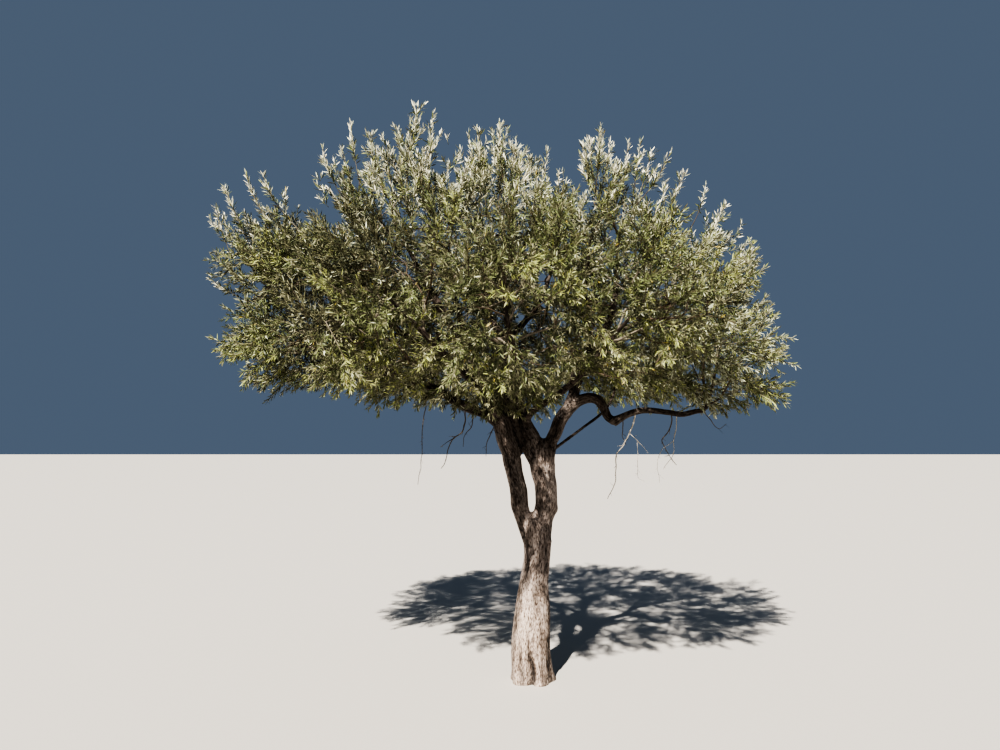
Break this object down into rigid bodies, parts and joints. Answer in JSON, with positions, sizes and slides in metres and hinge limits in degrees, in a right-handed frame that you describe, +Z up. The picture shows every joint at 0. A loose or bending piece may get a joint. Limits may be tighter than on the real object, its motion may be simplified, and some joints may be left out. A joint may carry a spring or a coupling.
{
  "type": "olive tree",
  "caption": "Olive tree with one trunk that forks low into stems, tapering boughs and a broad rounded evergreen crown with a flat underside.",
  "frame": {"origin": "centre of the flat cut under the trunk, at ground level", "axes": "+Z up; -Y towards the viewer of the picture, +X to the viewer's right"},
  "size_m": [3.9564, 3.65, 3.892],
  "materials": {
    "bark": "rough fissured bark",
    "foliage": "matt leaves"
  },
  "bodies": {
    "root": {"trunk": "bark", "stem_left": "bark", "stem_right": "bark", "stem_middle": "bark", "stem_outer": "bark", "bough_top_right": "bark", "bough_arch": "bark", "bough_right_low": "bark", "shoot_right": "bark", "bough_left_low": "bark", "bough_top_left": "bark", "bough_left_top": "bark", "bough_front_left": "bark", "bough_top_front_left": "bark", "bough_top_mid": "bark", "bough_front_mid": "bark", "bough_back_left": "bark", "bough_back_mid": "bark", "bough_top_back_left": "bark", "bough_top_back_right": "bark", "bough_top_front_right": "bark", "bough_front_right": "bark", "bough_back_right": "bark", "bough_right_shoulder": "bark", "foliage_left_top": "foliage", "foliage_left_low": "foliage", "foliage_top_left": "foliage", "foliage_top_mid": "foliage", "foliage_top_right": "foliage", "foliage_right_shoulder": "foliage", "foliage_right_low": "foliage", "foliage_front_left": "foliage", "foliage_front_mid": "foliage", "foliage_front_right": "foliage", "foliage_back_left": "foliage", "foliage_back_mid": "foliage", "foliage_back_right": "foliage", "foliage_top_back_left": "foliage", "foliage_top_back_right": "foliage", "foliage_top_front_left": "foliage", "foliage_top_front_right": "foliage"}
  },
  "joints": []
}
